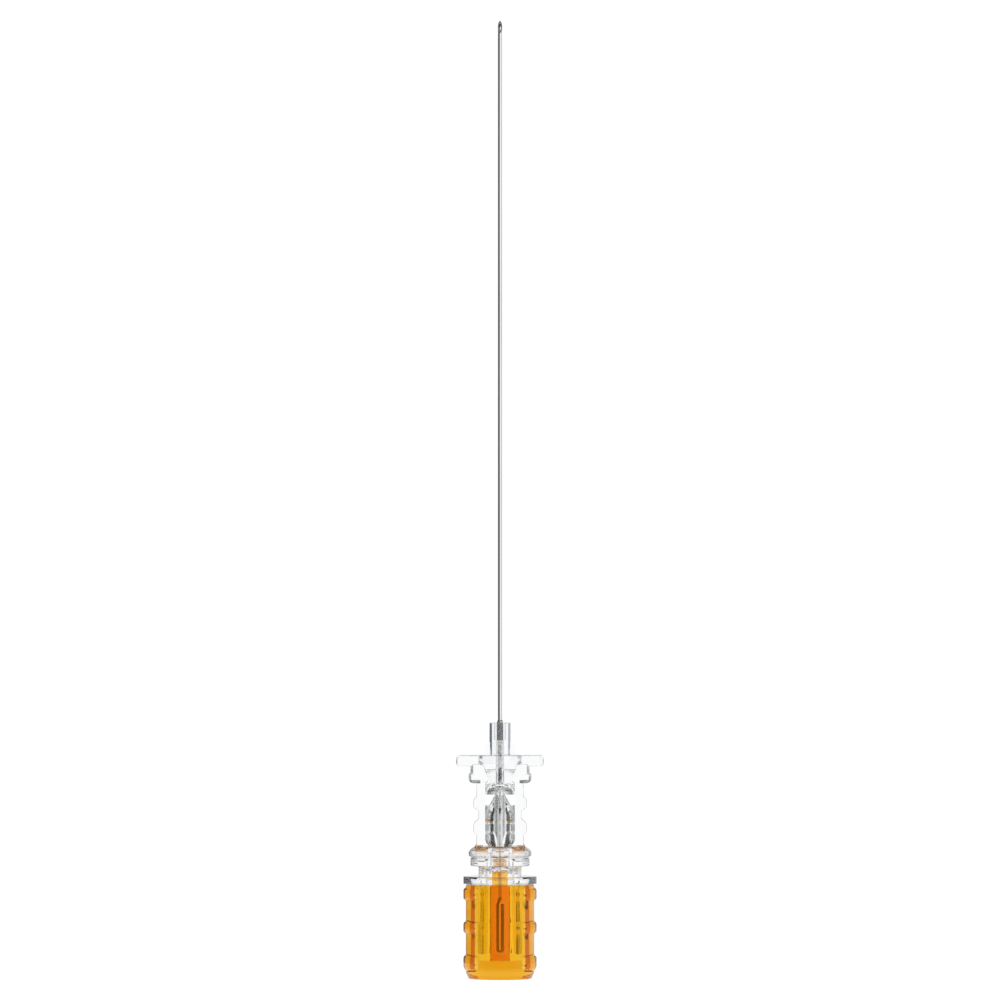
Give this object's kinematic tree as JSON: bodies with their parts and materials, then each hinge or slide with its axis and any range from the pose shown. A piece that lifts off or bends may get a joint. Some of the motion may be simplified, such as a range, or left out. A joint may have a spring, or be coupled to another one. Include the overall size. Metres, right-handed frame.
{
  "type": "spinal needle",
  "caption": "Spinal needle: a long fine steel tube with a slanted point, a clear winged hub, and a stylet on an orange cap that fills the tube until it is drawn out.",
  "frame": {"origin": "centre of the cap's flat end, which is the lowest face and stands on the surface", "axes": "+Z along the needle from the cap to the point, +X along the wings, the bevel faces -Y"},
  "size_m": [0.011, 0.0092, 0.1201],
  "materials": {
    "steel": "fine drawn and polished",
    "clear_plastic": "clear and glossy",
    "adhesive": "clear, cured",
    "orange_plastic": "see-through orange, glossy"
  },
  "bodies": {
    "stylet": {"stylet_wire": "steel", "stylet_cap": "orange_plastic"},
    "needle": {"cannula": "steel", "needle_hub": "clear_plastic", "cannula_adhesive": "adhesive"}
  },
  "joints": [
    {"name": "stylet_withdrawal", "type": "slide", "parent": "stylet", "child": "needle", "axis": [0, 0, 1], "range_m": [0, 0.125]}
  ]
}
